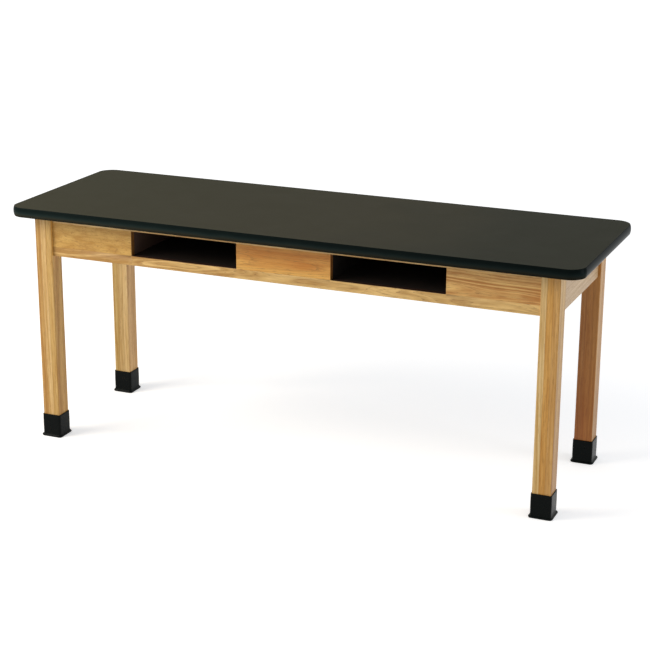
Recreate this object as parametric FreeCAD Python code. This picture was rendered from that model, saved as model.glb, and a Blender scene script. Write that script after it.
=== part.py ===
import FreeCAD, Part
import math
import os

# Science lab table: an oak frame with two book compartments, a black laminate worktop and black boots.
# All lengths are millimetres. The origin is the middle of the footprint, on the floor.
# +X runs along the length, -Y is the front with the two openings, and +Z is up.

# Overall size
table_length = 1828.8
table_depth = 609.6
table_height = 762.0

# Worktop: a particle board core with a laminate face, a thin backer and a solid band round the edge
core_thickness = 28.6
laminate_thickness = 0.8
backer_thickness = 0.8
band_thickness = 3.0
band_ease = 1.5
worktop_corner_radius = 50.0
end_overhang = 70.0
side_overhang = 44.5

# Legs: strips of oak glued side by side, with the inner corner cut flat behind the aprons
leg_width = 57.15
leg_ease = 2.5
leg_strip_count = 3
leg_flat = 12.0

# Boots: rubber sleeves with a flared skirt
boot_height = 75.0
boot_wall = 2.7
boot_floor = 4.0
boot_clearance = 0.3
boot_flare_width = 5.4
boot_flare_height = 15.0
boot_lip_height = 7.0

# Aprons, and the two openings in the front one
apron_height = 127.0
apron_thickness = 19.0
apron_recess = 9.5
top_rail_height = 19.0
opening_height = 78.0
opening_width = 355.6
centre_panel_length = 304.8

# Corner braces: pressed steel, hooked into kerfs in the aprons
brace_thickness = 2.5
brace_height = 60.0
brace_gap = 3.0
brace_flange = 28.0
brace_lip = 6.0
kerf_clearance = 0.3

# Hanger bolts that draw each leg into its corner
bolt_diameter = 8.0
bolt_spacing = 32.0
bolt_depth_in_leg = 26.0
bolt_tip = 5.0
bolt_tail = 3.0
washer_diameter = 19.0
washer_thickness = 1.6
nut_across_flats = 13.0
nut_height = 6.5

# Wood screws
screw_diameter = 4.0
screw_tip = 4.0
screw_head_diameter = 8.0
screw_head_height = 2.4
screw_head_ease = 0.9
brace_screw_spacing = 36.0
fastener_clearance = 0.1
apron_bite_share = 0.68
core_bite_share = 0.55

# Clips that hold the worktop: their tongues sit in a groove along the aprons
clip_thickness = 2.0
clip_width = 26.0
clip_tongue = 7.0
clip_step = 4.0
clip_flange = 22.0
clip_drop = 9.0
groove_clearance = 0.3

# Cross rail between the long aprons, on dowels
cross_rail_thickness = 19.0
cross_rail_height = 89.0
dowel_diameter = 8.0
dowel_spacing = 36.0
dowel_depth = 12.0
dowel_clearance = 0.1

# Book compartments: black board, open to the front and closed above by the worktop
board_thickness = 12.0
compartment_rear_gap = 60.0
cleat_size = 19.0
cleat_end_gap = 20.0
cleat_screw_shares = (0.12, 0.5, 0.88)
board_screw_shares = (0.12, 0.5, 0.88)
board_screw_bite = 16.0

# Room past a surface for tools that cut through it
overrun = 1.0

# Levels
underside = table_height - laminate_thickness - core_thickness - backer_thickness
apron_bottom = underside - apron_height
panel_top = underside - top_rail_height
panel_bottom = panel_top - opening_height
panel_middle = (panel_top + panel_bottom) / 2
groove_top = underside - clip_drop

# Places in plan: half spans from the table's centre lines
leg_outer_x = table_length / 2 - end_overhang
leg_outer_y = table_depth / 2 - side_overhang
leg_inner_x = leg_outer_x - leg_width
leg_inner_y = leg_outer_y - leg_width
apron_outer_x = leg_outer_x - apron_recess
apron_outer_y = leg_outer_y - apron_recess
apron_inner_x = apron_outer_x - apron_thickness
apron_inner_y = apron_outer_y - apron_thickness
opening_near_x = centre_panel_length / 2
opening_far_x = opening_near_x + opening_width

# Corner braces: u and v run along the two inner apron faces, away from the corner where they would meet.
# The flat on the leg and the web of the brace are the lines u + v = flat_sum and u + v = web_sum.
leg_reach = leg_outer_x - apron_recess - apron_thickness - leg_inner_x
flat_sum = 2 * leg_reach - leg_flat
web_sum = flat_sum + brace_gap * math.sqrt(2)
flange_end = web_sum + brace_flange
flat_distance = flat_sum / math.sqrt(2)
web_face_distance = web_sum / math.sqrt(2) + brace_thickness

# Compartments
compartment_back = apron_inner_y - compartment_rear_gap
compartment_length = compartment_back + apron_inner_y

UP = FreeCAD.Vector(0, 0, 1)
CORNERS = {
    "front_left": (-1, -1),
    "front_right": (1, -1),
    "rear_left": (-1, 1),
    "rear_right": (1, 1),
}
SIDES = {"left": -1, "right": 1}


def vector(x, y, z):
    return FreeCAD.Vector(x, y, z)


def block(x_span, y_span, z_span):
    """A box between the two ends of each span, given in either order."""
    low = vector(min(x_span), min(y_span), min(z_span))
    high = vector(max(x_span), max(y_span), max(z_span))
    size = high - low
    return Part.makeBox(size.x, size.y, size.z, low)


def placed(shape, start, direction):
    """A shape made along +Z from zero, moved so that it starts at a point and runs along a direction."""
    shape.Placement = FreeCAD.Placement(start, FreeCAD.Rotation(UP, direction))
    return shape


def rod(start, direction, length, diameter):
    return placed(Part.makeCylinder(diameter / 2, length), start, direction)


def extruded(points, run):
    """A prism on a closed outline of straight edges."""
    outline = Part.makePolygon(points + [points[0]])
    return Part.Face(outline).extrude(run)


def turned(points):
    """A solid of revolution about Z from an outline in the X-Z plane."""
    face = Part.Face(Part.makePolygon([vector(r, 0, z) for r, z in points + [points[0]]]))
    return face.revolve(vector(0, 0, 0), UP, 360)


def rounded_outline(half_x, half_y, radius, z):
    """A closed wire: a rectangle about the Z axis with its four corners rounded."""
    arcs = []
    for turn, (side_x, side_y) in enumerate(((1, -1), (1, 1), (-1, 1), (-1, -1))):
        centre = vector(side_x * (half_x - radius), side_y * (half_y - radius), z)
        points = []
        for share in (0, 0.5, 1):
            angle = math.pi / 2 * (turn - 1 + share)
            points.append(centre + vector(radius * math.cos(angle), radius * math.sin(angle), 0))
        arcs.append(points)
    edges = []
    for points, following in zip(arcs, arcs[1:] + arcs[:1]):
        edges.append(Part.Arc(*points).toShape())
        edges.append(Part.makeLine(points[-1], following[0]))
    return Part.Wire(edges)


def rounded_block(half_x, half_y, radius, bottom, top):
    """A rectangular plate or post about the Z axis with rounded upright corners."""
    face = Part.Face(rounded_outline(half_x, half_y, radius, bottom))
    return face.extrude(vector(0, 0, top - bottom))


def level_edges(shape):
    """The edges round the top and the bottom of an upright plate."""
    return [edge for edge in shape.Edges if edge.BoundBox.ZLength < band_ease]


def corner_point(corner, u, v, z):
    """A point in plan by its distances u and v along the inner apron faces from their shared corner."""
    side_x, side_y = corner
    return vector(side_x * (apron_inner_x - u), side_y * (apron_inner_y - v), z)


def diagonal_point(corner, distance, z):
    """A point on the corner's diagonal, by its distance from where the inner apron faces meet."""
    share = distance / math.sqrt(2)
    return corner_point(corner, share, share, z)


def inward(corner):
    """The level direction from a leg along its corner's diagonal into the table."""
    side_x, side_y = corner
    return vector(-side_x, -side_y, 0).normalize()


def wood_screw(seat, direction, length):
    """A screw with its head's underside on the seat and its pointed shank along the direction."""
    head = screw_head_diameter / 2
    shank = screw_diameter / 2
    outline = [
        (0, -screw_head_height),
        (head - screw_head_ease, -screw_head_height),
        (head, screw_head_ease - screw_head_height),
        (head, 0),
        (shank, 0),
        (shank, length - screw_tip),
        (0, length),
    ]
    return placed(turned(outline), seat, direction)


def screw_hole(seat, direction, length):
    diameter = screw_diameter + 2 * fastener_clearance
    return rod(seat, direction, length + fastener_clearance, diameter)


# Places of the fasteners: each is a seat for the head, a direction and a length


def brace_screw_places():
    """Two screws through each flange of each brace into the apron behind it."""
    length = brace_thickness + apron_thickness * apron_bite_share
    middle = web_sum + brace_flange / 2
    places = []
    for corner in CORNERS.values():
        side_x, side_y = corner
        for step in (-1, 1):
            z = panel_middle + step * brace_screw_spacing / 2
            places.append((corner_point(corner, middle, brace_thickness, z), vector(0, side_y, 0), length))
            places.append((corner_point(corner, brace_thickness, middle, z), vector(side_x, 0, 0), length))
    return places


def clip_places():
    """The middle of each clip on the inner apron face, with the level direction into the table."""
    cross_face = cross_rail_thickness / 2
    near_cleat = opening_near_x - board_thickness - cleat_size
    far_cleat = opening_far_x + board_thickness + cleat_size
    near_x = (cross_face + near_cleat) / 2
    far_x = (far_cleat + apron_inner_x - flange_end) / 2
    places = []
    for side_y in (-1, 1):
        for x in (-far_x, -near_x, near_x, far_x):
            places.append((vector(x, side_y * apron_inner_y, 0), vector(0, -side_y, 0)))
    for side_x in (-1, 1):
        places.append((vector(side_x * apron_inner_x, 0, 0), vector(-side_x, 0, 0)))
    return places


def clip_screw_places():
    """One screw up through the flange of each clip into the core."""
    length = clip_thickness + backer_thickness + core_thickness * core_bite_share
    reach = clip_step + clip_thickness + (clip_flange - clip_thickness) / 2
    places = []
    for middle, way in clip_places():
        seat = middle + way * reach + UP * (underside - clip_thickness)
        places.append((seat, UP, length))
    return places


def cleat_spans():
    """The x span of the cleat outside each board of each compartment."""
    spans = []
    for side in SIDES.values():
        near_board = opening_near_x - board_thickness
        far_board = opening_far_x + board_thickness
        spans.append((side * near_board, side * (near_board - cleat_size)))
        spans.append((side * far_board, side * (far_board + cleat_size)))
    return spans


def cleat_screw_places():
    """Screws up through each cleat into the core."""
    length = cleat_size + backer_thickness + core_thickness * core_bite_share
    places = []
    for x_span in cleat_spans():
        for share in cleat_screw_shares:
            y = share * compartment_length - apron_inner_y
            places.append((vector(sum(x_span) / 2, y, underside - cleat_size), UP, length))
    return places


def board_screw_places():
    """Level screws through the sides of each compartment into the edges of its floor."""
    length = board_thickness + board_screw_bite
    z = panel_bottom - board_thickness / 2
    near_face = opening_near_x - board_thickness
    far_face = opening_far_x + board_thickness
    places = []
    for side in SIDES.values():
        for face, way in ((near_face, side), (far_face, -side)):
            for share in board_screw_shares:
                y = share * compartment_length - apron_inner_y
                places.append((vector(side * face, y, z), vector(way, 0, 0), length))
    return places


def dowel_places():
    """The middle of each dowel, where the end of the cross rail meets an apron."""
    places = []
    for side_y in (-1, 1):
        for step in (-1, 1):
            z = panel_middle + step * dowel_spacing / 2
            places.append(vector(0, side_y * apron_inner_y, z))
    return places


def dowel(middle, clearance):
    """A dowel across the joint, or the hole for it when a clearance is given."""
    depth = dowel_depth + clearance
    return rod(middle - vector(0, depth, 0), vector(0, 1, 0), 2 * depth, dowel_diameter + 2 * clearance)


# Cutting tools shared by the pieces that a fastener or a hook passes into


def holes(places):
    return [screw_hole(seat, way, length) for seat, way, length in places]


def kerfs():
    """Upright slots in the inner apron faces for the hooked lips of the braces."""
    near = flange_end - brace_thickness - kerf_clearance
    far = flange_end + kerf_clearance
    depth = brace_lip + kerf_clearance
    half_height = brace_height / 2 + kerf_clearance
    z_span = (panel_middle - half_height, panel_middle + half_height)
    slots = []
    for corner in CORNERS.values():
        for (u0, v0), (u1, v1) in (((near, -depth), (far, 0)), ((-depth, near), (0, far))):
            first = corner_point(corner, u0, v0, 0)
            last = corner_point(corner, u1, v1, 0)
            slots.append(block((first.x, last.x), (first.y, last.y), z_span))
    return slots


def grooves():
    """A level groove along the inner face of each apron for the tongues of the clips."""
    depth = clip_tongue + groove_clearance
    z_span = (groove_top + groove_clearance, groove_top - clip_thickness - groove_clearance)
    cuts = []
    for side in (-1, 1):
        y_span = (side * apron_inner_y, side * (apron_inner_y + depth))
        cuts.append(block((-leg_inner_x, leg_inner_x), y_span, z_span))
        x_span = (side * apron_inner_x, side * (apron_inner_x + depth))
        cuts.append(block(x_span, (-leg_inner_y, leg_inner_y), z_span))
    return cuts


def bolt_levels():
    return (panel_middle - bolt_spacing / 2, panel_middle + bolt_spacing / 2)


# Worktop


def worktop_layer(bottom, top):
    half_x = table_length / 2 - band_thickness
    half_y = table_depth / 2 - band_thickness
    return rounded_block(half_x, half_y, worktop_corner_radius - band_thickness, bottom, top)


def make_worktop():
    """The core, the two skins and the band, which stands the full height of the three."""
    core_bottom = underside + backer_thickness
    core_top = core_bottom + core_thickness
    screw_holes = holes(clip_screw_places() + cleat_screw_places())
    half_x = table_length / 2
    half_y = table_depth / 2
    outside = rounded_block(half_x, half_y, worktop_corner_radius, underside, table_height)
    outside = outside.makeFillet(min(band_ease, band_thickness / 2), level_edges(outside))
    return {
        "worktop_core": worktop_layer(core_bottom, core_top).cut(screw_holes),
        "worktop_laminate": worktop_layer(core_top, table_height),
        "worktop_backer": worktop_layer(underside, core_bottom).cut(screw_holes),
        "worktop_edge_band": outside.cut(worktop_layer(underside, table_height)),
    }


# Legs and boots


def leg_centre(corner):
    side_x, side_y = corner
    return vector(side_x * (leg_outer_x - leg_width / 2), side_y * (leg_outer_y - leg_width / 2), 0)


def make_leg(corner):
    """A square post with eased edges, a flat and bores for its bolts, cut into its glued strips."""
    half = leg_width / 2
    post = rounded_block(half, half, leg_ease, boot_floor, underside)
    post.translate(leg_centre(corner))
    corner_cut = [
        corner_point(corner, leg_reach - leg_flat - overrun, leg_reach + overrun, apron_bottom),
        corner_point(corner, leg_reach + overrun, leg_reach - leg_flat - overrun, apron_bottom),
        corner_point(corner, leg_reach + overrun, leg_reach + overrun, apron_bottom),
    ]
    tools = [extruded(corner_cut, UP * apron_height)]
    for z in bolt_levels():
        depth = bolt_depth_in_leg + fastener_clearance
        start = diagonal_point(corner, flat_distance - depth, z)
        tools.append(rod(start, inward(corner), depth + overrun, bolt_diameter + 2 * fastener_clearance))
    post = post.cut(tools)
    strip_width = leg_width / leg_strip_count
    centre = leg_centre(corner)
    strips = []
    for number in range(leg_strip_count):
        left = centre.x - half + number * strip_width
        y_span = (centre.y - leg_width, centre.y + leg_width)
        strips += post.common(block((left, left + strip_width), y_span, (0, table_height))).Solids
    return Part.makeCompound(strips)


def make_boot(corner):
    """A square sleeve with a floor: one outline carried round a rounded square."""
    inner = leg_width / 2 + boot_clearance
    radius = leg_ease + boot_clearance
    lip = boot_lip_height / 2
    lip_centre = boot_wall + boot_flare_width - lip
    rise = boot_flare_height - boot_lip_height
    run = lip_centre - boot_wall
    hollow = (run * run + rise * rise) / (2 * run)
    angle = math.asin(rise / hollow) / 2
    arc_x = boot_wall + hollow - hollow * math.cos(angle)
    arc_z = boot_flare_height - hollow * math.sin(angle)

    def profile_point(out, z):
        return vector(inner + out, 0, z)

    foot = profile_point(0, 0)
    sole_edge = profile_point(lip_centre, 0)
    lip_side = profile_point(lip_centre + lip, lip)
    lip_top = profile_point(lip_centre, boot_lip_height)
    skirt_middle = profile_point(arc_x, arc_z)
    skirt_top = profile_point(boot_wall, boot_flare_height)
    rim_out = profile_point(boot_wall, boot_height)
    rim_in = profile_point(0, boot_height)
    profile = Part.Wire([
        Part.makeLine(foot, sole_edge),
        Part.Arc(sole_edge, lip_side, lip_top).toShape(),
        Part.Arc(lip_top, skirt_middle, skirt_top).toShape(),
        Part.makeLine(skirt_top, rim_out),
        Part.makeLine(rim_out, rim_in),
        Part.makeLine(rim_in, foot),
    ])
    face = Part.Face(profile)
    flat = inner - radius
    pieces = [rounded_block(inner, inner, radius, 0, boot_floor)]
    for turn in range(4):
        side = face.extrude(vector(0, 2 * flat, 0))
        side.translate(vector(0, -flat, 0))
        corner_piece = face.copy()
        corner_piece.translate(vector(0, flat, 0))
        corner_piece = corner_piece.revolve(vector(flat, flat, 0), UP, 90)
        for piece in (side, corner_piece):
            piece.rotate(vector(0, 0, 0), UP, 90 * turn)
            pieces.append(piece)
    boot = pieces[0].fuse(pieces[1:]).removeSplitter()
    boot.translate(leg_centre(corner))
    return boot


# Aprons


def make_aprons():
    """The glued-up front apron and the three plain boards, with their kerfs, grooves and holes."""
    front_y = (-apron_outer_y, -apron_inner_y)
    long_x = (-leg_inner_x, leg_inner_x)
    panel_z = (panel_bottom, panel_top)
    full_z = (apron_bottom, underside)
    blanks = {
        "front_top_rail": block(long_x, front_y, (panel_top, underside)),
        "front_bottom_rail": block(long_x, front_y, (apron_bottom, panel_bottom)),
        "front_left_panel": block((-leg_inner_x, -opening_far_x), front_y, panel_z),
        "front_centre_panel": block((-opening_near_x, opening_near_x), front_y, panel_z),
        "front_right_panel": block((opening_far_x, leg_inner_x), front_y, panel_z),
        "rear_apron": block(long_x, (apron_inner_y, apron_outer_y), full_z),
    }
    for name, side in SIDES.items():
        x_span = (side * apron_inner_x, side * apron_outer_x)
        blanks[name + "_end_apron"] = block(x_span, (-leg_inner_y, leg_inner_y), full_z)
    tools = kerfs() + grooves() + holes(brace_screw_places())
    tools += [dowel(middle, dowel_clearance) for middle in dowel_places()]
    return {name: blank.cut(tools) for name, blank in blanks.items()}


# Corner braces and their fasteners


def make_brace(corner):
    """A web across the corner, a flange on each apron and a lip hooked into each kerf."""
    web_fold = web_sum + brace_thickness * (math.sqrt(2) - 1)
    half = [
        (web_sum, 0),
        (flange_end - brace_thickness, 0),
        (flange_end - brace_thickness, -brace_lip),
        (flange_end, -brace_lip),
        (flange_end, brace_thickness),
        (web_fold, brace_thickness),
    ]
    outline = half + [(v, u) for u, v in reversed(half)]
    bottom = panel_middle - brace_height / 2
    plate = extruded([corner_point(corner, u, v, bottom) for u, v in outline], UP * brace_height)
    reach = web_face_distance + overrun - flat_distance
    bore = bolt_diameter + 2 * fastener_clearance
    tools = holes(brace_screw_places())
    for z in bolt_levels():
        tools.append(rod(diagonal_point(corner, flat_distance, z), inward(corner), reach, bore))
    return plate.cut(tools)


def make_hanger_bolt(corner, z):
    """A stud with a pointed end in the leg, long enough for the washer, the nut and its tail."""
    outside = web_face_distance + washer_thickness + nut_height + bolt_tail
    length = outside - flat_distance + bolt_depth_in_leg
    radius = bolt_diameter / 2
    outline = [(0, 0), (radius, bolt_tip), (radius, length), (0, length)]
    start = diagonal_point(corner, flat_distance - bolt_depth_in_leg, z)
    return placed(turned(outline), start, inward(corner))


def make_washer(corner, z):
    hole = Part.makeCylinder(bolt_diameter / 2 + fastener_clearance, washer_thickness)
    disc = Part.makeCylinder(washer_diameter / 2, washer_thickness).cut(hole)
    return placed(disc, diagonal_point(corner, web_face_distance, z), inward(corner))


def make_nut(corner, z):
    radius = nut_across_flats / math.sqrt(3)
    points = []
    for number in range(6):
        angle = math.pi / 3 * number
        points.append(vector(radius * math.cos(angle), radius * math.sin(angle), 0))
    hole = Part.makeCylinder(bolt_diameter / 2 + fastener_clearance, nut_height)
    nut = extruded(points, UP * nut_height).cut(hole)
    return placed(nut, diagonal_point(corner, web_face_distance + washer_thickness, z), inward(corner))


def at_each_bolt(maker):
    """One solid for each bolt of each corner, kept apart in one group."""
    return Part.makeCompound([maker(corner, z) for corner in CORNERS.values() for z in bolt_levels()])


def screws(places):
    return Part.makeCompound([wood_screw(seat, way, length) for seat, way, length in places])


# Worktop clips


def make_clip(middle, way):
    """A Z-shaped strip: a tongue in the groove, a riser, and a flange against the worktop."""
    along = way.cross(UP)
    inner = clip_step + clip_thickness
    outline = [
        (-clip_tongue, groove_top),
        (clip_step, groove_top),
        (clip_step, underside),
        (clip_step + clip_flange, underside),
        (clip_step + clip_flange, underside - clip_thickness),
        (inner, underside - clip_thickness),
        (inner, groove_top - clip_thickness),
        (-clip_tongue, groove_top - clip_thickness),
    ]
    start = middle - along * (clip_width / 2)
    points = [start + way * out + UP * z for out, z in outline]
    return extruded(points, along * clip_width)


def make_clips():
    tools = holes(clip_screw_places())
    return Part.makeCompound([make_clip(middle, way).cut(tools) for middle, way in clip_places()])


# Cross rail


def make_cross_rail():
    half = cross_rail_thickness / 2
    z_span = (underside - cross_rail_height, underside)
    rail = block((-half, half), (-apron_inner_y, apron_inner_y), z_span)
    return rail.cut([dowel(middle, dowel_clearance) for middle in dowel_places()])


# Book compartments


def make_compartment(name, side):
    """Two sides, a floor and a back, flush inside with the edges of the opening."""
    front = -apron_inner_y
    floor_bottom = panel_bottom - board_thickness
    back_face = compartment_back - board_thickness
    inside_x = (side * opening_near_x, side * opening_far_x)
    back_y = (back_face, compartment_back)
    y_span = (front, compartment_back)
    side_z = (floor_bottom, underside)
    near_x = (side * (opening_near_x - board_thickness), side * opening_near_x)
    far_x = (side * opening_far_x, side * (opening_far_x + board_thickness))
    blanks = {
        name + "_compartment_inner_side": block(near_x, y_span, side_z),
        name + "_compartment_outer_side": block(far_x, y_span, side_z),
        name + "_compartment_floor": block(inside_x, y_span, (floor_bottom, panel_bottom)),
        name + "_compartment_back": block(inside_x, back_y, (panel_bottom, underside)),
    }
    tools = holes(board_screw_places())
    return {board: blank.cut(tools) for board, blank in blanks.items()}


def make_cleats():
    """Square strips outside the compartment sides, screwed up into the worktop."""
    y_span = (-apron_inner_y + cleat_end_gap, compartment_back - cleat_end_gap)
    z_span = (underside - cleat_size, underside)
    tools = holes(cleat_screw_places())
    return Part.makeCompound([block(x_span, y_span, z_span).cut(tools) for x_span in cleat_spans()])


def make_table():
    nodes = make_worktop()
    for name, corner in CORNERS.items():
        nodes[name + "_leg"] = make_leg(corner)
        nodes[name + "_boot"] = make_boot(corner)
        nodes[name + "_corner_brace"] = make_brace(corner)
    nodes.update(make_aprons())
    nodes["hanger_bolts"] = at_each_bolt(make_hanger_bolt)
    nodes["hanger_bolt_washers"] = at_each_bolt(make_washer)
    nodes["hanger_bolt_nuts"] = at_each_bolt(make_nut)
    nodes["brace_screws"] = screws(brace_screw_places())
    nodes["worktop_clips"] = make_clips()
    nodes["worktop_clip_screws"] = screws(clip_screw_places())
    nodes["cross_rail"] = make_cross_rail()
    nodes["cross_rail_dowels"] = Part.makeCompound([dowel(middle, 0) for middle in dowel_places()])
    for name, side in SIDES.items():
        nodes.update(make_compartment(name, side))
    nodes["compartment_cleats"] = make_cleats()
    nodes["cleat_screws"] = screws(cleat_screw_places())
    nodes["compartment_screws"] = screws(board_screw_places())
    return nodes


os.makedirs("parts", exist_ok=True)
for node, shape in make_table().items():
    shape.exportStep("parts/" + node + ".step")
    print(node, len(shape.Solids), round(shape.Volume), shape.isValid())
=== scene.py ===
"""The looks of a science lab table: an oak frame, a black laminate worktop and black rubber boots.

Metres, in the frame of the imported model: +Z is up, the floor is z = 0, and the front is -Y.
"""
import math

import bmesh
import bpy
import numpy as np
from mathutils import Euler, Matrix, Vector


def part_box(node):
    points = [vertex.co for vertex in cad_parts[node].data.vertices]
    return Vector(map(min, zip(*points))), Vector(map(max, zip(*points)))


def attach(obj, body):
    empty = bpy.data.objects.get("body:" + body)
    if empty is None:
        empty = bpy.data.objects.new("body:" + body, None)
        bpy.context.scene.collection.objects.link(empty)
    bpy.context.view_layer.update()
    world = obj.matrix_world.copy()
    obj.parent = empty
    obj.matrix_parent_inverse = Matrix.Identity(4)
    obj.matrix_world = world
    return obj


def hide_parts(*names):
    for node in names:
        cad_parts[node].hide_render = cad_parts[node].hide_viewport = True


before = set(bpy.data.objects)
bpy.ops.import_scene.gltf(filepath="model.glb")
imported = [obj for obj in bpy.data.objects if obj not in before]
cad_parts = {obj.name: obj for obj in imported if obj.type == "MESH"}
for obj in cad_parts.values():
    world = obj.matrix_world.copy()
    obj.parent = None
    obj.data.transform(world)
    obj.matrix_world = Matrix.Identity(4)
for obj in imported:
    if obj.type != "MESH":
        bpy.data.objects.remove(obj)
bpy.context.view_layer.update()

MM = 0.001
CORNERS = ("front_left", "front_right", "rear_left", "rear_right")

# Points nearer than this are one point, and faces smaller than this are none
WELD = 0.002 * MM
SPECK = 0.001 * MM

# Camera, fitted to the legs, the worktop and the openings in the photograph
PHOTO_SIDE = 650
FOCAL_PIXELS = 1691.86
SENSOR_MM = 36.0
CAMERA_PLACE = (1.98578, -4.62936, 1.99952)
CAMERA_YAW = 0.3997
CAMERA_PITCH = 0.3064
CAMERA_ROLL = 0.0048
CAMERA_NEAR, CAMERA_FAR = 0.1, 200.0

# Floor, and lamps with their azimuth and elevation in degrees, distance, side, watts and colour
FLOOR_HALF = 40.0
LAMP_AIM = (0, 0, 0.45)
LAMPS = {
    "key": (-55, 32, 4.5, 2.2, 140, "#FFF4E6"),
    "fill": (95, 5, 4.0, 1.6, 50, "#F4F6FF"),
}

# Boots
BOOT_CLEARANCE = 0.3 * MM
BOOT_WALL = 2.7 * MM
BOOT_FLOOR = 4.0 * MM
BOOT_INNER_RADIUS = 2.8 * MM
BOOT_RIM_RADIUS = 0.9 * MM
BOOT_LIP_HEIGHT = 7.0 * MM
BOOT_FLARE_HEIGHT = 15.0 * MM
BOOT_BULGE = 0.35 * MM
BOOT_SOLE_INSET = 2.0 * MM
BOOT_ROWS = 9
BOOT_SCUFF_HEIGHT = 14.0 * MM

# Worktop band
BAND_THICKNESS = 3.0 * MM
BAND_ROUNDING = 1.6
BAND_ROWS = 25
WORKTOP_CORNER_RADIUS = 50.0 * MM

# Timber and board arrises, and the boards that are glued flush into the front apron
ARRIS = 1.2 * MM
ARRIS_SHORTEST = 25.0 * MM
ARRIS_STEPS = 3
BOARD_ARRIS = 0.5 * MM
FLAT_DEGREES = 1
CREASE_DEGREES = 30
ARRIS_DEGREES = 60
FRONT_APRON = (
    "front_top_rail",
    "front_bottom_rail",
    "front_left_panel",
    "front_centre_panel",
    "front_right_panel",
)
TOUCHING = 0.01 * MM

# Fasteners
BOLT_PITCH = 1.25 * MM
BOLT_THREAD_DEPTH = 0.68 * MM
SCREW_PITCH = 1.8 * MM
SCREW_THREAD_DEPTH = 0.6 * MM
SCREW_HEAD_HEIGHT = 2.4 * MM
SCREW_TIP = 4.0 * MM
SCREW_DOME_SHARE = 0.45
BOLT_TIP = 5.0 * MM
TIP_SHARE = 0.02
RECESS_DEPTH = 1.5 * MM
RECESS_REACH = 2.1 * MM
RECESS_HALF_WIDTH = 0.55 * MM
RECESS_SIDE = 0.2 * MM
RECESS_END = 0.5 * MM
NUT_CHAMFER_SHARE = 0.16
NUT_MOUTH = 0.5 * MM
NUT_MOUTH_DEPTH = 0.6 * MM
WASHER_EASE = 0.3 * MM
WASHER_SIDES = 48


# Meshes


def rounded_walk(half_x, half_y, radius, corner_steps, side_steps):
    """A walk round a rectangle with rounded corners, as places and outward directions.

    Each corner is its centre plus the radius times (cos a, sin a), and each side is evenly divided.
    """
    places, outwards = [], []
    quarter = math.pi / 2
    inner = np.array([half_x, half_y]) - radius
    share = np.linspace(0, 1, side_steps + 1)[1:-1, None]
    for turn in range(4):
        angle = quarter * turn + np.linspace(0, quarter, corner_steps + 1)
        way = np.stack([np.cos(angle), np.sin(angle)], 1)
        middles = [quarter * (turn + step) for step in (0.5, 1.5)]
        centre, next_centre = [np.sign([math.cos(a), math.sin(a)]) * inner for a in middles]
        arc = centre + radius * way
        next_start = next_centre + radius * way[-1]
        side = arc[-1] + (next_start - arc[-1]) * share
        places += [arc, side]
        outwards += [way, np.repeat(way[-1:], len(side), 0)]
    return np.concatenate(places), np.concatenate(outwards)


def carried(profile, walk):
    """A profile of (out, height) pairs carried round a walk.

    Each point is the walk's place plus out times its outward direction, at that height.
    """
    places, outwards = walk
    out, height = np.array(profile).T
    flat = places[None] + outwards[None] * out[:, None, None]
    up = np.broadcast_to(height[:, None, None], flat.shape[:2] + (1,))
    return np.concatenate([flat, up], 2)


def pole(height, columns):
    """A row whose columns all meet in one point of the axis, which closes a carried or turned surface."""
    return np.tile(np.array([0.0, 0.0, height]), (1, columns, 1))


def arc_points(centre, radius, start, end, steps):
    """Points of an arc as (out, height): the centre plus the radius times (cos a, sin a), in degrees."""
    angle = np.radians(np.linspace(start, end, steps + 1))
    return [(centre[0] + radius * math.cos(a), centre[1] + radius * math.sin(a)) for a in angle]


def grid_piece(name, grids, nodes, smooth_degrees=35):
    """A mesh of grids of points whose columns close round; it rides on the body and replaces its nodes."""
    faces, start = [], 0
    for grid in grids:
        rows, columns = grid.shape[:2]
        index = start + np.arange(rows * columns).reshape(rows, columns)
        low, high = index[:-1], index[1:]
        cells = np.stack([low, np.roll(low, -1, 1), np.roll(high, -1, 1), high], -1)
        faces.append(cells.reshape(-1, 4))
        start += rows * columns
    points = np.concatenate([grid.reshape(-1, 3) for grid in grids])
    faces = np.concatenate(faces)
    mesh = bpy.data.meshes.new(name)
    mesh.vertices.add(len(points))
    mesh.vertices.foreach_set("co", points.astype(np.float32).ravel())
    mesh.loops.add(faces.size)
    mesh.loops.foreach_set("vertex_index", faces.astype(np.int32).ravel())
    mesh.polygons.add(len(faces))
    mesh.polygons.foreach_set("loop_start", np.arange(0, faces.size, 4, dtype=np.int32))
    mesh.update(calc_edges=True)
    return finished(name, mesh, nodes, smooth_degrees)


def finished(name, mesh, nodes, smooth_degrees):
    """Closes the mesh's seams and poles, turns its faces outwards and smooths all but its sharp edges."""
    work = bmesh.new()
    work.from_mesh(mesh)
    bmesh.ops.remove_doubles(work, verts=work.verts, dist=WELD)
    bmesh.ops.dissolve_degenerate(work, edges=work.edges, dist=SPECK)
    bmesh.ops.recalc_face_normals(work, faces=work.faces)
    work.to_mesh(mesh)
    work.free()
    mesh.shade_smooth()
    mesh.set_sharp_from_angle(angle=math.radians(smooth_degrees))
    return placed(name, mesh, nodes)


def placed(name, mesh, nodes):
    """Puts the piece into the scene, on the body and in the place of its nodes."""
    piece = bpy.data.objects.new(name, mesh)
    bpy.context.scene.collection.objects.link(piece)
    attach(piece, "root")
    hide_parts(*nodes)
    return piece


# Solids of a node


def node_corners(node):
    """A node's welded points, and its triangles as three point numbers each."""
    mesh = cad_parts[node].data
    points = np.zeros(len(mesh.vertices) * 3)
    mesh.vertices.foreach_get("co", points)
    mesh.calc_loop_triangles()
    triangles = np.zeros(len(mesh.loop_triangles) * 3, np.int32)
    mesh.loop_triangles.foreach_get("vertices", triangles)
    places, welded = np.unique(np.round(points.reshape(-1, 3), 6), axis=0, return_inverse=True)
    return places, welded.reshape(-1)[triangles].reshape(-1, 3)


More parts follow.
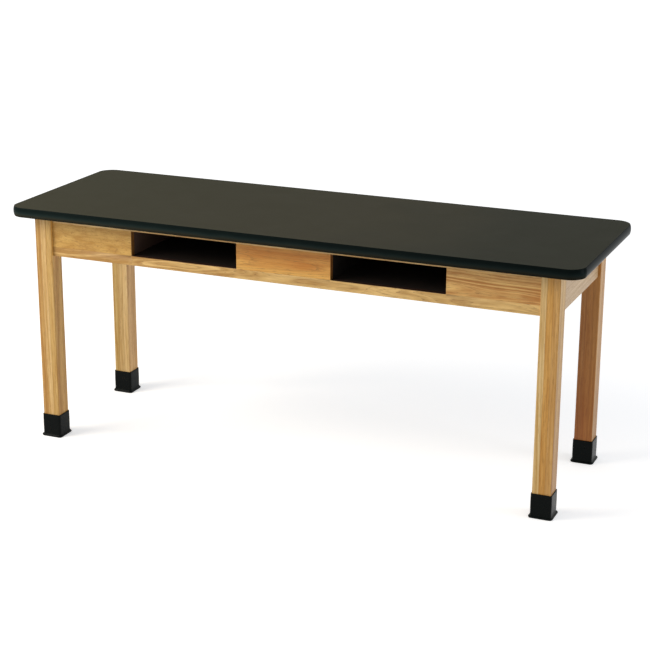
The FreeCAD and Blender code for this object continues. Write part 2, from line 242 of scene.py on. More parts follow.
def node_solids(node):
    """The separate solids of a node, each as its points.

    Neighbours share the lowest number that either can reach, until no number changes.
    """
    places, triangles = node_corners(node)
    label = np.arange(len(places))
    while True:
        lowest = label[triangles].min(1)
        spread = label.copy()
        np.minimum.at(spread, triangles.ravel(), np.repeat(lowest, 3))
        if (spread == label).all():
            break
        label = spread
    return [places[label == number] for number in np.unique(label)]


def along_axis(points, thin):
    """Middle and unit axis of a turned solid: its longest way, or its shortest where it is thin."""
    middle = (points.min(0) + points.max(0)) / 2
    ways = np.linalg.eigh(np.cov((points - points.mean(0)).T))[1]
    return middle, ways[:, 0] if thin else ways[:, -1]


def measured(points, middle, axis):
    """How far each point lies along the axis from the middle, and how far beside it."""
    along = (points - middle) @ axis
    return along, np.linalg.norm((points - middle) - along[:, None] * axis, axis=1)


def stood_on(grid, origin, axis):
    """A grid made round +Z, turned so that +Z lies along the axis, and moved to the origin."""
    turn = Vector((0, 0, 1)).rotation_difference(Vector(axis)).to_matrix()
    return grid @ np.array(turn).T + np.array(origin)


# New pieces


def make_boot(corner):
    """A moulded boot: lip, hollow skirt, bulged wall, rounded rim and floor, carried round the leg.

    The skirt is a quarter of an ellipse that turns out to the lip, and the wall stands out by half a
    sine wave.
    """
    node = corner + "_boot"
    low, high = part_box(node)
    centre = (low + high) / 2
    height = high.z - low.z
    leg_low, leg_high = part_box(corner + "_leg")
    inner = (leg_high.x - leg_low.x) / 2 + BOOT_CLEARANCE
    reach = (high.x - low.x) / 2 - inner
    lip = BOOT_LIP_HEIGHT / 2
    lip_out = reach - lip
    rise = BOOT_FLARE_HEIGHT - BOOT_LIP_HEIGHT
    run = lip_out - BOOT_WALL
    skirt = [
        (BOOT_WALL + run * (1 - math.sin(a)), BOOT_LIP_HEIGHT + rise * (1 - math.cos(a)))
        for a in np.radians(np.linspace(0, 90, BOOT_ROWS)[1:])
    ]
    wall_top = height - BOOT_RIM_RADIUS
    wall_height = wall_top - BOOT_FLARE_HEIGHT
    bulge = [
        (BOOT_WALL + BOOT_BULGE * math.sin(math.pi * (z - BOOT_FLARE_HEIGHT) / wall_height), z)
        for z in np.linspace(BOOT_FLARE_HEIGHT, wall_top, BOOT_ROWS)[1:-1]
    ]
    profile = (
        [(lip_out - BOOT_SOLE_INSET, 0.0)]
        + arc_points((lip_out, lip), lip, -90, 90, steps=8)
        + skirt
        + bulge
        + arc_points((BOOT_WALL - BOOT_RIM_RADIUS, wall_top), BOOT_RIM_RADIUS, 0, 90, steps=4)
        + [(BOOT_RIM_RADIUS / 2, height), (0.0, height - BOOT_RIM_RADIUS / 2), (0.0, BOOT_FLOOR)]
    )
    walk = rounded_walk(inner, inner, BOOT_INNER_RADIUS, corner_steps=8, side_steps=10)
    wall = carried(profile, walk)
    columns = wall.shape[1]
    grid = np.concatenate([pole(0.0, columns), wall, pole(BOOT_FLOOR, columns)])
    grid += np.array([centre.x, centre.y, low.z])
    return grid_piece(corner + "_boot_moulding", [grid], [node], smooth_degrees=40)


def make_edge_band():
    """The moulded band, carried round the worktop, with a belly all the way up its face.

    It stands out by its thickness times the cosine of an angle to a power, over a height that goes with the
    sine, from -90 to 90 degrees. A power of 1 is an ellipse, and a higher one rounds the arrises off more.
    """
    low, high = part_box("worktop_edge_band")
    half_x = (high.x - low.x) / 2 - BAND_THICKNESS
    half_y = (high.y - low.y) / 2 - BAND_THICKNESS
    radius = WORKTOP_CORNER_RADIUS - BAND_THICKNESS
    height = high.z - low.z
    belly = [
        (BAND_THICKNESS * math.cos(a) ** BAND_ROUNDING, height / 2 * (1 + math.sin(a)))
        for a in np.radians(np.linspace(-90, 90, BAND_ROWS)[1:-1])
    ]
    profile = [(0.0, 0.0)] + belly + [(0.0, height), (0.0, 0.0)]
    walk = rounded_walk(half_x, half_y, radius, corner_steps=24, side_steps=12)
    grid = carried(profile, walk) + np.array([0, 0, low.z])
    return grid_piece("worktop_edge_band_trimmed", [grid], ["worktop_edge_band"])


def threaded(length, radius, pitch, depth, tip, sides=16, rings=6):
    """A threaded shank round +Z from its tip: the radius dips by the depth along a helix of the pitch.

    The dip is a triangle wave of height over pitch less the share of a turn, and the tip tapers nearly to
    a point.
    """
    steps = int(length / pitch * rings)
    height = np.linspace(0, length, steps + 1)[1:, None]
    turn = np.arange(sides)[None] / sides
    wave = np.abs((height / pitch - turn) % 1 * 2 - 1)
    taper = np.clip(height / tip, TIP_SHARE, 1)
    reach = (radius - depth * (1 - wave)) * taper
    angle = 2 * math.pi * turn
    level = np.broadcast_to(height, reach.shape)
    grid = np.stack([reach * np.cos(angle), reach * np.sin(angle), level], 2)
    return np.concatenate([pole(0.0, sides), grid, pole(length, sides)])


def screw_head(radius, height, sides=48, rings=12):
    """A pan head above z = 0, with a cross recess pressed into its dome.

    The dome falls with the fourth power of the share of the radius. The recess is a plus sign: where either
    side is within its half width the top drops, and less towards its ends.
    """
    share = np.linspace(0, 1, rings + 1)[1:, None]
    angle = 2 * math.pi * np.arange(sides)[None] / sides
    across = radius * share
    x, y = across * np.cos(angle), across * np.sin(angle)
    dome = height * (1 - SCREW_DOME_SHARE * share**4) * np.ones_like(x)
    arm = np.minimum(np.abs(x), np.abs(y))
    reach = np.maximum(np.abs(x), np.abs(y))
    inside = np.clip((RECESS_HALF_WIDTH - arm) / RECESS_SIDE + 0.5, 0, 1)
    inside *= np.clip((RECESS_REACH - reach) / RECESS_END, 0, 1)
    top = np.stack([x, y, dome - RECESS_DEPTH * inside], 2)[::-1]
    foot = np.stack([radius * np.cos(angle), radius * np.sin(angle), np.zeros_like(angle)], 2)
    return np.concatenate([pole(0.0, sides), foot, top, pole(height - RECESS_DEPTH, sides)])


def make_screws(node):
    """Each screw of the node as a threaded shank and a pan head, on the screw's own axis."""
    grids = []
    for points in node_solids(node):
        middle, axis = along_axis(points, thin=False)
        along, across = measured(points, middle, axis)
        if along[across.argmax()] > 0:
            axis, along = -axis, -along
        radius = across.max()
        tip = middle + axis * along.max()
        length = along.max() - along.min() - SCREW_HEAD_HEIGHT
        into_head = SCREW_HEAD_HEIGHT / 4
        shank_radius = radius / 2
        shank = threaded(
            length + into_head, shank_radius, SCREW_PITCH, SCREW_THREAD_DEPTH, SCREW_TIP, sides=12)
        grids.append(stood_on(shank, tip, -axis))
        grids.append(stood_on(screw_head(radius, SCREW_HEAD_HEIGHT), tip - axis * length, -axis))
    return grid_piece(node + "_threaded", grids, [node], smooth_degrees=30)


def make_bolts():
    """Each hanger bolt as a threaded stud that tapers into the leg."""
    grids = []
    for points in node_solids("hanger_bolts"):
        middle, axis = along_axis(points, thin=False)
        if (axis[:2] @ middle[:2]) > 0:
            axis = -axis
        along, across = measured(points, middle, axis)
        tip = middle + axis * along.min()
        length = along.max() - along.min()
        stud = threaded(length, across.max(), BOLT_PITCH, BOLT_THREAD_DEPTH, BOLT_TIP, sides=20)
        grids.append(stood_on(stud, tip, axis))
    return grid_piece("hanger_bolts_threaded", grids, ["hanger_bolts"], smooth_degrees=40)


def hexagon_nut(across_flats, height, bore, sides=72):
    """A nut round +Z: the hexagon's reach is its half width over the cosine to the nearest flat.

    At both faces a cone trims the corners down to a circle, and the bore runs through with widened mouths.
    """
    angle = 2 * math.pi * np.arange(sides) / sides
    flat = across_flats / 2
    hexagon = flat / np.cos(angle % (math.pi / 3) - math.pi / 6)
    chamfer = NUT_CHAMFER_SHARE * height
    mouth = bore + NUT_MOUTH
    outside = [(0, flat), (chamfer, hexagon), (height - chamfer, hexagon), (height, flat)]
    inside = [(height, mouth), (height - NUT_MOUTH_DEPTH, bore), (NUT_MOUTH_DEPTH, bore), (0, mouth)]
    rows = [
        np.stack([reach * np.cos(angle), reach * np.sin(angle), np.full(sides, level)], 1)
        for level, reach in outside + inside
    ]
    return np.array(rows + rows[:1])


def make_nuts():
    """Each nut with its chamfered corners, seated where the frame has it."""
    grids = []
    for points in node_solids("hanger_bolt_nuts"):
        middle, axis = along_axis(points, thin=True)
        along, across = measured(points, middle, axis)
        height = along.max() - along.min()
        nut = hexagon_nut(across.max() * math.sqrt(3), height, across.min())
        grids.append(stood_on(nut, middle - axis * height / 2, axis))
    name = "hanger_bolt_nuts_chamfered"
    return grid_piece(name, grids, ["hanger_bolt_nuts"], smooth_degrees=25)


def make_washers():
    """Each washer as a flat ring with rolled edges."""
    grids = []
    angle = 2 * math.pi * np.arange(WASHER_SIDES) / WASHER_SIDES
    walk = (np.zeros((WASHER_SIDES, 2)), np.stack([np.cos(angle), np.sin(angle)], 1))
    for points in node_solids("hanger_bolt_washers"):
        middle, axis = along_axis(points, thin=True)
        along, across = measured(points, middle, axis)
        height = along.max() - along.min()
        outer, bore, ease = across.max(), across.min(), WASHER_EASE
        profile = [
            (bore, ease), (bore + ease, 0), (outer - ease, 0), (outer, ease), (outer, height - ease),
            (outer - ease, height), (bore + ease, height), (bore, height - ease), (bore, ease),
        ]
        grids.append(stood_on(carried(profile, walk), middle - axis * height / 2, axis))
    name = "hanger_bolt_washers_rolled"
    return grid_piece(name, grids, ["hanger_bolt_washers"], smooth_degrees=50)


def touches(point, node):
    """Whether a point lies in the node's box or on its sides."""
    low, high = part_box(node)
    return all(low[i] - TOUCHING < point[i] < high[i] + TOUCHING for i in range(3))


def make_planed(node, ease=ARRIS):
    """The node's board with its long arrises taken off, as a pass of the sandpaper leaves them.

    Where boards of the front apron are glued to it, its edges are divided and stay sharp and flush.
    """
    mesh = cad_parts[node].data.copy()
    mesh.name = node + "_planed"
    mesh.materials.clear()
    work = bmesh.new()
    work.from_mesh(mesh)
    bmesh.ops.remove_doubles(work, verts=work.verts, dist=WELD)
    flat = math.radians(FLAT_DEGREES)
    bmesh.ops.dissolve_limit(work, verts=work.verts, edges=work.edges, angle_limit=flat)
    glued = [other for other in FRONT_APRON if node in FRONT_APRON and other != node]
    for end in {round(side.x, 6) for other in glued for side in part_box(other)}:
        parts = work.verts[:] + work.edges[:] + work.faces[:]
        bmesh.ops.bisect_plane(work, geom=parts, dist=TOUCHING, plane_co=(end, 0, 0), plane_no=(1, 0, 0))
    layers = work.edges.layers.float
    weight = layers.get("bevel_weight_edge") or layers.new("bevel_weight_edge")
    for edge in work.edges:
        middle = (edge.verts[0].co + edge.verts[1].co) / 2
        if any(touches(middle, other) for other in glued):
            continue
        if len(edge.link_faces) == 2 and edge.is_convex and edge.calc_length() > ARRIS_SHORTEST:
            edge[weight] = float(edge.calc_face_angle() > math.radians(ARRIS_DEGREES))
    work.to_mesh(mesh)
    work.free()
    mesh.shade_smooth()
    mesh.set_sharp_from_angle(angle=math.radians(CREASE_DEGREES))
    piece = placed(node + "_planed", mesh, [node])
    bevel = piece.modifiers.new("arris", "BEVEL")
    bevel.limit_method = "WEIGHT"
    bevel.width = ease
    bevel.segments = ARRIS_STEPS
    bevel.use_clamp_overlap = False
    return piece


# Materials


def colour(code):
    """An sRGB hex colour as the linear colour that shaders work in."""
    parts = [int(code[i:i + 2], 16) / 255 for i in (1, 3, 5)]
    return tuple(c / 12.92 if c <= 0.04045 else ((c + 0.055) / 1.055) ** 2.4 for c in parts) + (1.0,)


def per(size_mm):
    """How many of a size in millimetres go into a metre, which is a pattern's scale."""
    return 1000 / size_mm


def add(tree, kind, inputs=None, stops=None, **settings):
    """Adds a shader node with its settings and colour stops, and sets or links its inputs.

    An input is named or numbered; it takes a value, a socket, or a node, whose first live output feeds it.
    """
    made = tree.nodes.new("ShaderNode" + kind)
    for key, value in settings.items():
        setattr(made, key, value)
    if stops:
        ramp = made.color_ramp.elements
        while len(ramp) < len(stops):
            ramp.new(1.0)
        for element, (position, shade) in zip(ramp, stops):
            element.position = position
            element.color = colour(shade) if isinstance(shade, str) else (shade, shade, shade, 1.0)
    for key, value in (inputs or {}).items():
        socket = made.inputs[key] if isinstance(key, int) else next(
            s for s in made.inputs if s.name == key and s.enabled)
        if isinstance(value, bpy.types.Node):
            value = next(s for s in value.outputs if s.enabled)
        if isinstance(value, bpy.types.NodeSocket):
            tree.links.new(value, socket)
        else:
            socket.default_value = value
    return made


def new_material(name):
    """An empty material and the place in the row frame that its patterns read."""
    made = bpy.data.materials.new(name)
    made.use_nodes = True
    tree = made.node_tree
    tree.nodes.clear()
    return made, tree, add(tree, "TexCoord").outputs["Object"]


def surface(tree, inputs, height, depth_mm):
    """The shader of an opaque surface, with a bump of a real depth."""
    inputs["Normal"] = add(tree, "Bump", {"Height": height, "Distance": depth_mm * MM})
    shader = add(tree, "BsdfPrincipled", inputs)
    add(tree, "OutputMaterial", {"Surface": shader})


def stretched_noise(tree, place, long_mm, wide_mm, detail=2.0, rough=0.5):
    """Noise drawn out along X: its grains are as long and as wide as given."""
    drawn = add(tree, "Mapping", {"Vector": place, "Scale": (per(long_mm), per(wide_mm), per(wide_mm))})
    return add(tree, "TexNoise", {"Vector": drawn, "Scale": 1.0, "Detail": detail, "Roughness": rough})


GRAIN_TURNS = {"X": (0, 0, 0), "Y": (0, 0, -math.pi / 2), "Z": (0, math.pi / 2, 0)}
GRAIN_WAYS = {"X": (1.0, 0.0, 0.0), "Y": (0.0, 1.0, 0.0), "Z": (0.0, 0.0, 1.0)}
RING_MM = 2.6
TONE_SPREAD = 0.12
GLUE_LINE = 1.0 * MM
# How far apart in the log the strips of a post are cut, in metres
STRIP_JUMP = (0.83, 0.021, 0.034)


def log_place(tree, place, box, along, heart, tilt):
    """Where a point lies in the log: X runs up the trunk, and the heart is the X axis.

    The board's middle goes to its place beside the heart, and its length leans a little off the trunk.
    """
    turn = Euler(GRAIN_TURNS[along])
    turn = Euler((turn.x, turn.y + math.radians(tilt[0]), turn.z + math.radians(tilt[1])))
    shift = Vector((0, heart[0] * MM, heart[1] * MM)) - turn.to_matrix() @ ((box[0] + box[1]) / 2)
    return add(tree, "Mapping", {"Vector": place, "Location": shift, "Rotation": turn})


def glued_strips(tree, place, laid, box, tones_and_painted_shade, painted_shade_foot_tint, painted_light_right_face):
    """Strips glued side by side along X: each one's tint and own place in the log, and the glue lines.

    Each strip's colour is partly the wood's own tone and partly painted shade. The wide face of the last
    strip, turned to +X, has colours of its own, which are painted light and shade on that face, paler at the
    head and darker at the foot. A second ramp paints shade that darkens the post from its head to its foot.
    A glue line is drawn 1 mm wide, because a real one is a tenth of that and wouldn't show.
    """
    low, high = box
    count, half_line = len(tones_and_painted_shade), GLUE_LINE / 2 / (high.x - low.x)
    position = add(tree, "SeparateXYZ", {"Vector": place})
    share = add(tree, "MapRange", {"Value": position.outputs["X"], "From Min": low.x, "From Max": high.x})
    drop = add(tree, "MapRange", {"Value": position.outputs["Z"], "From Min": high.z, "From Max": low.z})
    strips = add(tree, "ValToRGB", {"Fac": share}, [(i / count, t) for i, t in enumerate(tones_and_painted_shade)])
    strips.color_ramp.interpolation = "CONSTANT"
    # painted shade: this ramp darkens the post towards its foot
    foot = add(tree, "ValToRGB", {"Fac": drop}, [(0.0, "#FFFFFF"), (1.0, painted_shade_foot_tint)])
    front = add(tree, "Mix", {"Factor": 1.0, "A": strips, "B": foot}, data_type="RGBA", blend_type="MULTIPLY")
    # painted light and shade: the right face is painted paler at the head and darker at the foot
    right = add(tree, "ValToRGB", {"Fac": drop}, [(0.0, painted_light_right_face[0]), (1.0, painted_light_right_face[1])])
    on_right = add(tree, "Math", {0: share, 1: 1 - 2 * half_line}, operation="GREATER_THAN")
    tone_and_painted_shade = add(tree, "Mix", {"Factor": on_right, "A": front, "B": right}, data_type="RGBA")
    joints = [(i / count + step * half_line, 1.0 - abs(step)) for i in range(1, count) for step in (-1, 0, 1)]
    glue = add(tree, "ValToRGB", {"Fac": share}, joints)
    number = add(tree, "Math", {0: share, 1: float(count)}, operation="MULTIPLY")
    number = add(tree, "Math", {0: number}, operation="FLOOR")
    jump = add(tree, "VectorMath", {0: STRIP_JUMP, "Scale": number}, operation="SCALE")
    return add(tree, "VectorMath", {0: laid, 1: jump}, operation="ADD"), tone_and_painted_shade, glue


def make_oak(name, box, along, pale, dark, heart=(35, 120), tilt=(1.6, 0.5), ring_mm=16, rings=0.4,
             streaks=0.3, contrast=1.0, flecks=0.5, fleck_mm=(26, 3.2), cloud_mm=(340, 45), pore=1.0,
             painted_shade_drift=0.0, sway_mm=26, strips=None, painted_shade_sill=False):
    """Open-grained oak, planed, sanded and satin varnished.

    Its growth rings are cylinders round a heart beside the board, so that flat faces show arches and smudges
    near the heart's level and lines away from it. Early wood holds long open pores. The end grain drinks more
    varnish and is darker. The eye gets warm honey wood with brown lines and flecks under a soft sheen. Rings
    are 2.6 mm apart, and groups of narrow years, a few times that, are what a picture of the whole table can
    show, so they are drawn stronger than the rings. The trunk sways by up to half of sway_mm to each side.
    Rings, streaks and broad clouds share the tone, which is shifted by the metre along the trunk as painted
    shade: a board's better-lit end is painted darker and its far end paler. Where a board is the sill of an
    opening, its upward faces are painted dark brown as painted shade inside the opening.
    """
    made, tree, place = new_material(name)
    laid, tone_and_painted_shade, glue = log_place(tree, place, box, along, heart, tilt), None, None
    if strips:
        laid, tone_and_painted_shade, glue = glued_strips(tree, place, laid, box, *strips)
    wave = stretched_noise(tree, laid, 600, 90).outputs["Color"]
    sway = add(tree, "VectorMath", {0: wave, 1: (0.5, 0.5, 0.5)}, operation="SUBTRACT")
    reach = (sway_mm * MM,) * 3
    bent = add(tree, "VectorMath", {0: sway, 1: reach, 2: laid}, operation="MULTIPLY_ADD")
    across = add(tree, "VectorMath", {0: bent, 1: (0.0, 1.0, 1.0)}, operation="MULTIPLY")
    radius = add(tree, "VectorMath", {0: across}, operation="LENGTH")
    year = add(tree, "Math", {0: radius, 1: per(RING_MM)}, operation="MULTIPLY")
    ring = add(tree, "Math", {0: year}, operation="FRACT")
    early = add(tree, "ValToRGB", {"Fac": ring}, [(0.0, 1.0), (0.3, 0.35), (0.55, 0.0), (1.0, 0.1)])
    years = add(tree, "Math", {0: radius, 1: per(ring_mm)}, operation="MULTIPLY")
    group = add(tree, "TexNoise", {"W": years, "Scale": 1.0, "Detail": 2.0, "Roughness": 0.6},
                noise_dimensions="1D")
    streak = stretched_noise(tree, bent, 260, 5, detail=3.0, rough=0.6)
    broad = stretched_noise(tree, laid, *cloud_mm)
    tone = add(tree, "Math", {0: group, 1: rings}, operation="MULTIPLY")
    tone = add(tree, "Math", {0: streak, 1: streaks, 2: tone}, operation="MULTIPLY_ADD")
    tone = add(tree, "Math", {0: broad, 1: 1 - rings - streaks, 2: tone}, operation="MULTIPLY_ADD")
    # painted shade: the tone shifts along the trunk, so the better-lit end of a board is painted darker
    trunk = add(tree, "SeparateXYZ", {"Vector": laid}).outputs["X"]
    tone = add(tree, "Math", {0: trunk, 1: painted_shade_drift, 2: tone}, operation="MULTIPLY_ADD")
    spread = TONE_SPREAD / contrast
    shade = add(tree, "MapRange", {"Value": tone, "From Min": 0.5 - spread, "From Max": 0.5 + spread})
    wood = add(tree, "Mix", {"Factor": shade, "A": colour(pale), "B": colour(dark)}, data_type="RGBA")
    line = add(tree, "Math", {0: early, 1: 0.2}, operation="MULTIPLY")
    wood = add(tree, "Mix", {"Factor": line, "A": wood, "B": colour("#946530")}, data_type="RGBA")
    pores = stretched_noise(tree, bent, 30, 0.8, detail=1.0)
    open_pore = add(tree, "ValToRGB", {"Fac": pores}, [(0.56, 0.0), (0.68, 1.0)])
    open_pore = add(tree, "Math", {0: open_pore, 1: early}, operation="MULTIPLY")
    filled = add(tree, "Math", {0: open_pore, 1: pore}, operation="MULTIPLY")
    wood = add(tree, "Mix", {"Factor": filled, "A": wood, "B": colour("#6E4520")}, data_type="RGBA")
    # clusters of pores, drawn some millimetres wide because single ones are under a pixel
    cluster = stretched_noise(tree, bent, *fleck_mm, detail=1.5)
    cluster = add(tree, "ValToRGB", {"Fac": cluster}, [(0.56, 0.0), (0.7, 1.0)])
    cluster = add(tree, "Math", {0: cluster, 1: flecks}, operation="MULTIPLY")
    wood = add(tree, "Mix", {"Factor": cluster, "A": wood, "B": colour("#95602A")}, data_type="RGBA")
    if strips:
        wood = add(tree, "Mix", {"Factor": 1.0, "A": wood, "B": tone_and_painted_shade},
                   data_type="RGBA", blend_type="MULTIPLY")
        glue = add(tree, "Math", {0: glue, 1: 0.6}, operation="MULTIPLY")
        wood = add(tree, "Mix", {"Factor": glue, "A": wood, "B": colour("#7A4E22")}, data_type="RGBA")
    normal = add(tree, "NewGeometry").outputs["Normal"]
    facing = add(tree, "VectorMath", {0: normal, 1: GRAIN_WAYS[along]}, operation="DOT_PRODUCT")
    facing = add(tree, "Math", {0: facing}, operation="ABSOLUTE")
    end_grain = add(tree, "MapRange", {"Value": facing, "From Min": 0.5, "From Max": 0.9, "To Max": 0.75})
    wood = add(tree, "Mix", {"Factor": end_grain, "A": wood, "B": colour("#6B3A1C")}, data_type="RGBA")
    # painted shade: a sill's upward faces are painted dark brown, as the shade inside an opening
    if painted_shade_sill:
        up = add(tree, "SeparateXYZ", {"Vector": normal}).outputs["Z"]
        sill = add(tree, "MapRange", {"Value": up, "From Min": 0.6, "From Max": 0.8})
        wood = add(tree, "Mix", {"Factor": sill, "A": wood, "B": colour("#33201A")}, data_type="RGBA")
    gloss = add(tree, "MapRange", {"Value": open_pore, "To Min": 0.42, "To Max": 0.7})
    relief = add(tree, "Math", {0: open_pore, 1: -1.0, 2: ring}, operation="MULTIPLY_ADD")
    surface(tree, {"Base Color": wood, "Roughness": gloss, "Specular IOR Level": 0.4}, relief, 0.06)
    return made


def make_laminate():
    """Chemical-resistant laminate, pressed against a fine matt plate.

    The eye gets an olive black with a faint sheen, painted darker and cooler towards the right end as painted
    shade away from the key lamp. The plate's grain, clouds in the pressed paper and soft wiping marks break
    it.
    The grain is drawn 1.2 mm wide, because the real one is a few tenths and wouldn't show.
    """
    made, tree, place = new_material("pressed_matt_laminate")
    low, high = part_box("worktop_laminate")
    grain = add(tree, "TexNoise", {"Vector": place, "Scale": per(1.2), "Detail": 2.0})
    cloud = add(tree, "TexNoise", {"Vector": place, "Scale": per(240), "Detail": 2.0})
    wiping = add(tree, "TexNoise", {"Vector": place, "Scale": per(110), "Detail": 3.0, "Distortion": 0.8})
    # painted shade: the tone darkens and cools from the left end to the right end
    x = add(tree, "SeparateXYZ", {"Vector": place}).outputs["X"]
    share = add(tree, "MapRange", {"Value": x, "From Min": low.x, "From Max": high.x})
    share = add(tree, "Math", {0: cloud, 1: 0.3, 2: share}, operation="MULTIPLY_ADD")
    tone = add(tree, "ValToRGB", {"Fac": share}, [(0.3, "#3C3B2E"), (0.75, "#3F3D31"), (1.0, "#36372E")])
    speck = add(tree, "MapRange", {"Value": grain, "To Min": 0.94, "To Max": 1.06})
    tone = add(tree, "VectorMath", {0: tone, "Scale": speck}, operation="SCALE")
    gloss = add(tree, "MapRange", {"Value": wiping, "To Min": 0.54, "To Max": 0.62})
    surface(tree, {"Base Color": tone, "Roughness": gloss, "Specular IOR Level": 0.012}, grain, 0.02)
    return made


def make_backer():
    """Brown resin paper, pressed and left unsanded: a dull brown with long paper fibres."""
    made, tree, place = new_material("pressed_paper_backer")
    fibre = stretched_noise(tree, place, 14, 1.5, detail=3.0)
    cloud = add(tree, "TexNoise", {"Vector": place, "Scale": per(90), "Detail": 3.0})
    umber, tan = colour("#4A3522"), colour("#6B4E33")
    tone = add(tree, "Mix", {"Factor": fibre, "A": umber, "B": tan}, data_type="RGBA")
    tone = add(tree, "Mix", {"Factor": cloud, "A": tone, "B": colour("#5A412B")}, data_type="RGBA")
    surface(tree, {"Base Color": tone, "Roughness": 0.7, "Specular IOR Level": 0.3}, fibre, 0.03)
    return made


def make_edging():
    """Black edge band, extruded through a polished die and pressed round the board.

    The eye gets a blue-green black, painted greyer towards the foot and deeper up the face, as a painted
    reflection of the bright floor on the rounded face, and painted deeper towards the right end, as painted
    shade away from the key lamp. The face is smooth but gives back little light, so it mirrors the room only
    where it is seen at a low angle, as in the roll at the ends. Faint lines of the die run along its length,
    drawn 1.6 mm wide because the real ones are hairs.
    """
    made, tree, place = new_material("extruded_edge_band")
    low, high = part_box("worktop_edge_band")
    position = add(tree, "SeparateXYZ", {"Vector": place})
    height = position.outputs["Z"]
    lines = add(tree, "TexNoise", {"W": height, "Scale": per(1.6), "Detail": 2.0}, noise_dimensions="1D")
    cloud = add(tree, "TexNoise", {"Vector": place, "Scale": per(60), "Detail": 3.0})
    # painted reflection: paler towards the foot and darker up the face, as the rounded face mirrors the floor
    share = add(tree, "MapRange", {"Value": height, "From Min": high.z, "From Max": low.z})
    share = add(tree, "Math", {0: cloud, 1: 0.25, 2: share}, operation="MULTIPLY_ADD")
    tone = add(tree, "ValToRGB", {"Fac": share}, [
        (0.35, "#131B1A"), (0.55, "#182221"), (0.66, "#1F2927"),
        (0.77, "#252C29"), (0.87, "#2B2D26"), (0.97, "#282820"),
    ])
    # painted shade: the tone darkens towards the right end
    depth = add(tree, "MapRange", {
        "Value": position.outputs["X"], "From Min": low.x, "From Max": high.x, "To Min": 1.2, "To Max": 0.6,
    })
    tone = add(tree, "VectorMath", {0: tone, "Scale": depth}, operation="SCALE")
    gloss = add(tree, "MapRange", {"Value": lines, "To Min": 0.05, "To Max": 0.1})
    surface(tree, {"Base Color": tone, "Roughness": gloss, "Specular IOR Level": 0.006}, lines, 0.01)
    return made


def make_rubber():
    """Black rubber, compression moulded.

    The eye gets a deep black, with a grey bloom and scuffs towards the floor. The mould's grain is drawn
    0.9 mm wide, coarser than it is.
    """
    made, tree, place = new_material("moulded_boot_rubber")
    height = add(tree, "SeparateXYZ", {"Vector": place}).outputs["Z"]
    bloom = add(tree, "TexNoise", {"Vector": place, "Scale": per(18), "Detail": 4.0, "Roughness": 0.6})
    grain = add(tree, "TexNoise", {"Vector": place, "Scale": per(0.9), "Detail": 1.0})
    low_down = add(tree, "MapRange", {
        "Value": height, "From Max": BOOT_SCUFF_HEIGHT, "To Min": 0.6, "To Max": 0.1,
    })
    scuff = add(tree, "ValToRGB", {"Fac": bloom}, [(0.45, 0.0), (0.7, 1.0)])
    scuff = add(tree, "Math", {0: scuff, 1: low_down}, operation="MULTIPLY")
    deep, bloomed = colour("#040807"), colour("#151A19")
    tone = add(tree, "Mix", {"Factor": scuff, "A": deep, "B": bloomed}, data_type="RGBA")
    gloss = add(tree, "MapRange", {"Value": scuff, "To Min": 0.26, "To Max": 0.5})
    finish = {"IOR": 1.16, "Sheen Weight": 0.05, "Sheen Roughness": 0.2}
    surface(tree, {"Base Color": tone, "Roughness": gloss, **finish}, grain, 0.03)
    return made


def make_black_board(name, dark, pale):
    """Particle board faced with black melamine paper: a warm near black, with a fine pressed grain."""
    made, tree, place = new_material(name)
    grain = stretched_noise(tree, place, 22, 1.4, detail=3.0)
    tone = add(tree, "Mix", {"Factor": grain, "A": colour(dark), "B": colour(pale)}, data_type="RGBA")
    surface(tree, {"Base Color": tone, "Roughness": 0.55, "Specular IOR Level": 0.1}, grain, 0.03)
    return made


def make_particle_board():
    """Pressed wood particles, sawn: tan chips of several tones with dark gaps between them."""
    made, tree, place = new_material("pressed_particle_board")
    chips = add(tree, "TexVoronoi", {"Vector": place, "Scale": per(3.5)})
    tans = [(0.1, "#8C6A42"), (0.5, "#B08A5C"), (0.9, "#CDAA78")]
    tone = add(tree, "ValToRGB", {"Fac": chips.outputs["Color"]}, tans)
    finish = {"Roughness": 0.85, "Specular IOR Level": 0.2}
    surface(tree, {"Base Color": tone, **finish}, chips.outputs["Distance"], 0.2)
    return made


def make_beech():
    """Raw turned beech: pale pink wood with short darker dashes."""
    made, tree, place = new_material("turned_beech")
    dashes = stretched_noise(tree, place, 6, 0.7)
    pale, dark = colour("#D9B58C"), colour("#B98A5E")
    tone = add(tree, "Mix", {"Factor": dashes, "A": pale, "B": dark}, data_type="RGBA")
    surface(tree, {"Base Color": tone, "Roughness": 0.65, "Specular IOR Level": 0.3}, dashes, 0.05)
    return made


def make_zinc():
    """Steel, zinc plated and passivated: a soft silver with faint blue and straw clouds.

    The plating's grain is drawn 0.7 mm wide, coarser than it is.
    """
    made, tree, place = new_material("zinc_plated_steel")
    cloud = add(tree, "TexNoise", {"Vector": place, "Scale": per(9), "Detail": 4.0})
    grain = add(tree, "TexNoise", {"Vector": place, "Scale": per(0.7), "Detail": 2.0})
    tone = add(tree, "ValToRGB", {"Fac": cloud}, [(0.3, "#B9C0C8"), (0.5, "#C4C4C2"), (0.7, "#CFC8AE")])
    gloss = add(tree, "MapRange", {"Value": cloud, "To Min": 0.3, "To Max": 0.48})
    surface(tree, {"Base Color": tone, "Metallic": 1.0, "Roughness": gloss}, grain, 0.01)
    return made


# Dressing


def dress(piece, look):
    """Gives the piece one material."""
    piece.data.materials.clear()
    piece.data.materials.append(look)


HONEY, AMBER = "#DEB878", "#B8874A"
